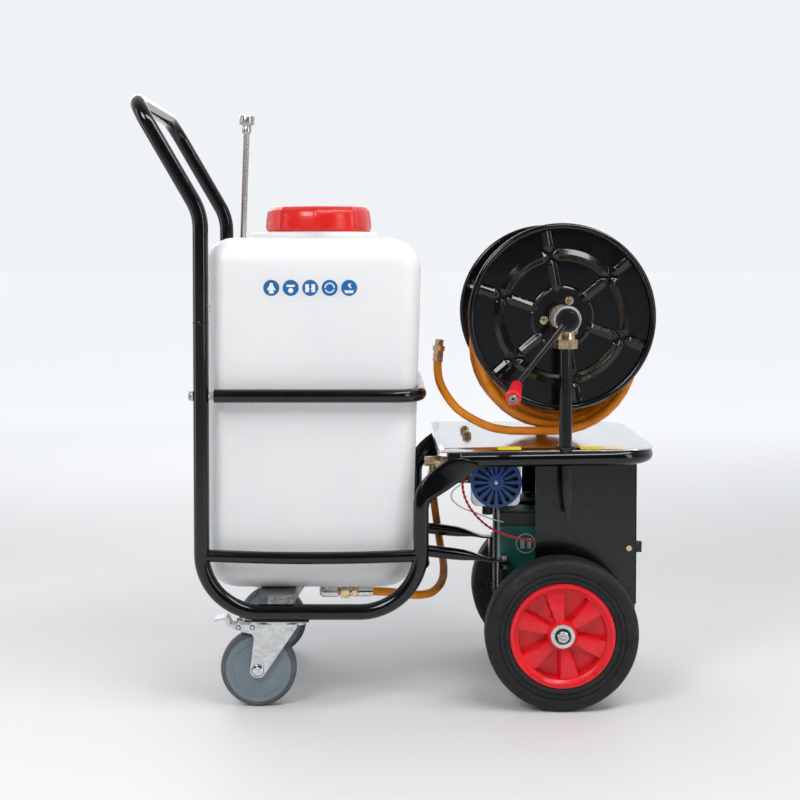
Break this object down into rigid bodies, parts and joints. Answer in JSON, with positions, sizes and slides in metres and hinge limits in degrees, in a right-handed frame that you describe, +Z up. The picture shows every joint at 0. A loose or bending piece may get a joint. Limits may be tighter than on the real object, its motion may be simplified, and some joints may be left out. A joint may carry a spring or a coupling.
{
  "type": "wheeled sprayer cart",
  "caption": "Battery sprayer cart: tube frame on two wheels and two braked casters, white tank held by hoops, pump and battery box under a steel deck, crank hose reel on top.",
  "frame": {"origin": "centre of the footprint box on the floor, under the wheels", "axes": "+X points to the front wheels, away from the push handle; +Y points to the far side, with the reel crank on the -Y side; +Z is up"},
  "size_m": [0.8621, 0.545, 1.0027],
  "materials": {
    "frame_paint": "gloss black stove enamel",
    "box_paint": "gloss black enamel on folded sheet",
    "reel_paint": "gloss black enamel on pressed sheet",
    "zinc": "bright zinc plate",
    "stainless": "polished stainless sheet",
    "steel": "polished stainless tube",
    "grey_steel": "weathered galvanised steel",
    "brass": "machined brass",
    "tyre_rubber": "matte solid rubber",
    "caster_plastic": "satin blue grey nylon with a grey rubber tread",
    "red_plastic": "satin red moulded plastic",
    "lid_plastic": "satin red moulded plastic",
    "tank_plastic": "satin natural white polyethylene",
    "seal_rubber": "matte black rubber",
    "hose_rubber": "satin orange hose",
    "blue_plastic": "satin blue moulded plastic",
    "black_plastic": "satin black plastic",
    "battery_plastic": "satin green battery case",
    "wire_plastic": "red insulated lead"
  },
  "bodies": {
    "root": {"side_frame_near": "frame_paint", "side_frame_far": "frame_paint", "push_handle": "frame_paint", "handle_spigots": "grey_steel", "frame_bolts": "zinc", "upper_hoop": "frame_paint", "lower_bar_near": "frame_paint", "lower_bar_far": "frame_paint", "tank_rest_bar": "grey_steel", "caster_brackets": "frame_paint", "brace_cross_tube": "frame_paint", "braces": "frame_paint", "deck_rail": "frame_paint", "deck_plate": "stainless", "pump_bolts": "brass", "box_side_near": "box_paint", "box_side_far": "box_paint", "battery_tray": "box_paint", "door_hinge_pin": "zinc", "box_bolts": "brass", "axle": "zinc", "axle_nuts": "zinc", "caster_plates": "zinc", "tank": "tank_plastic", "outlet_fittings": "brass", "suction_hose": "hose_rubber", "pump_motor": "black_plastic", "fan_cover": "blue_plastic", "pump_head": "black_plastic", "delivery_line": "seal_rubber", "battery": "battery_plastic", "battery_strap": "seal_rubber", "wiring": "wire_plastic", "reel_posts": "frame_paint", "reel_bearings": "brass", "hose_loops": "hose_rubber", "hose_tail": "hose_rubber", "hose_fitting": "brass", "lance_clips": "black_plastic"},
    "box_door": {"box_door": "box_paint"},
    "door_latch": {"door_latch": "black_plastic"},
    "wheel_near": {"tyre_near": "tyre_rubber", "rim_near": "red_plastic"},
    "wheel_far": {"tyre_far": "tyre_rubber", "rim_far": "red_plastic"},
    "caster_near": {"caster_fork_near": "zinc"},
    "caster_far": {"caster_fork_far": "zinc"},
    "caster_wheel_near": {"caster_wheel_near": "caster_plastic"},
    "caster_wheel_far": {"caster_wheel_far": "caster_plastic"},
    "brake_near": {"brake_pedal_near": "zinc"},
    "brake_far": {"brake_pedal_far": "zinc"},
    "lid_gasket": {"lid_seal": "seal_rubber"},
    "lid": {"lid": "lid_plastic"},
    "reel": {"reel_spool": "reel_paint", "reel_shaft": "zinc", "crank_arm": "frame_paint", "hose_pack": "hose_rubber"},
    "grip": {"crank_grip": "red_plastic"},
    "lance": {"lance": "steel"},
    "trigger": {"lance_trigger": "red_plastic"}
  },
  "joints": [
    {"name": "wheel_near_spin", "type": "hinge", "parent": "root", "child": "wheel_near", "pos_m": [0.27275, -0.15688, 0.125], "axis": [0, 1, 0], "continuous": true},
    {"name": "wheel_far_spin", "type": "hinge", "parent": "root", "child": "wheel_far", "pos_m": [0.27275, 0.21112, 0.125], "axis": [0, 1, 0], "continuous": true},
    {"name": "caster_near_swivel", "type": "hinge", "parent": "root", "child": "caster_near", "pos_m": [-0.19025, -0.13488, 0.14], "axis": [0, 0, 1], "continuous": true},
    {"name": "caster_far_swivel", "type": "hinge", "parent": "root", "child": "caster_far", "pos_m": [-0.19025, 0.18912, 0.14], "axis": [0, 0, 1], "continuous": true},
    {"name": "caster_near_spin", "type": "hinge", "parent": "caster_near", "child": "caster_wheel_near", "pos_m": [-0.22325, -0.13488, 0.0625], "axis": [0, 1, 0], "continuous": true},
    {"name": "caster_far_spin", "type": "hinge", "parent": "caster_far", "child": "caster_wheel_far", "pos_m": [-0.22325, 0.18912, 0.0625], "axis": [0, 1, 0], "continuous": true},
    {"name": "brake_near_press", "type": "hinge", "parent": "caster_near", "child": "brake_near", "pos_m": [-0.25525, -0.13488, 0.133], "axis": [0, -1, 0], "range_deg": [0, 12]},
    {"name": "brake_far_press", "type": "hinge", "parent": "caster_far", "child": "brake_far", "pos_m": [-0.25525, 0.18912, 0.133], "axis": [0, -1, 0], "range_deg": [0, 12]},
    {"name": "box_door_swing", "type": "hinge", "parent": "root", "child": "box_door", "pos_m": [0.40725, 0.15312, 0.28], "axis": [0, 0, 1], "range_deg": [0, 105]},
    {"name": "door_latch_turn", "type": "hinge", "parent": "box_door", "child": "door_latch", "pos_m": [0.40475, -0.07688, 0.251], "axis": [1, 0, 0], "range_deg": [0, 90]},
    {"name": "lid_lift", "type": "slide", "parent": "root", "child": "lid_gasket", "axis": [0, 0, 1], "range_m": [0, 0.12]},
    {"name": "lid_turn", "type": "hinge", "parent": "lid_gasket", "child": "lid", "pos_m": [-0.13025, 0.02712, 0.8], "axis": [0, 0, 1], "continuous": true},
    {"name": "reel_spin", "type": "hinge", "parent": "root", "child": "reel", "pos_m": [0.27775, 0.02712, 0.639], "axis": [0, 1, 0], "continuous": true},
    {"name": "crank_grip_spin", "type": "hinge", "parent": "reel", "child": "grip", "pos_m": [0.19498, -0.19729, 0.53305], "axis": [-0.1593, -0.9659, -0.204], "continuous": true},
    {"name": "lance_pull", "type": "slide", "parent": "root", "child": "lance", "axis": [0, 1, 0], "range_m": [0, 0.12]},
    {"name": "trigger_squeeze", "type": "hinge", "parent": "lance", "child": "trigger", "pos_m": [-0.28225, 0.25812, 0.356], "axis": [0, 1, 0], "range_deg": [0, 12], "stiffness_Nm_per_rad": 0.3, "springref_deg": -5.73}
  ]
}
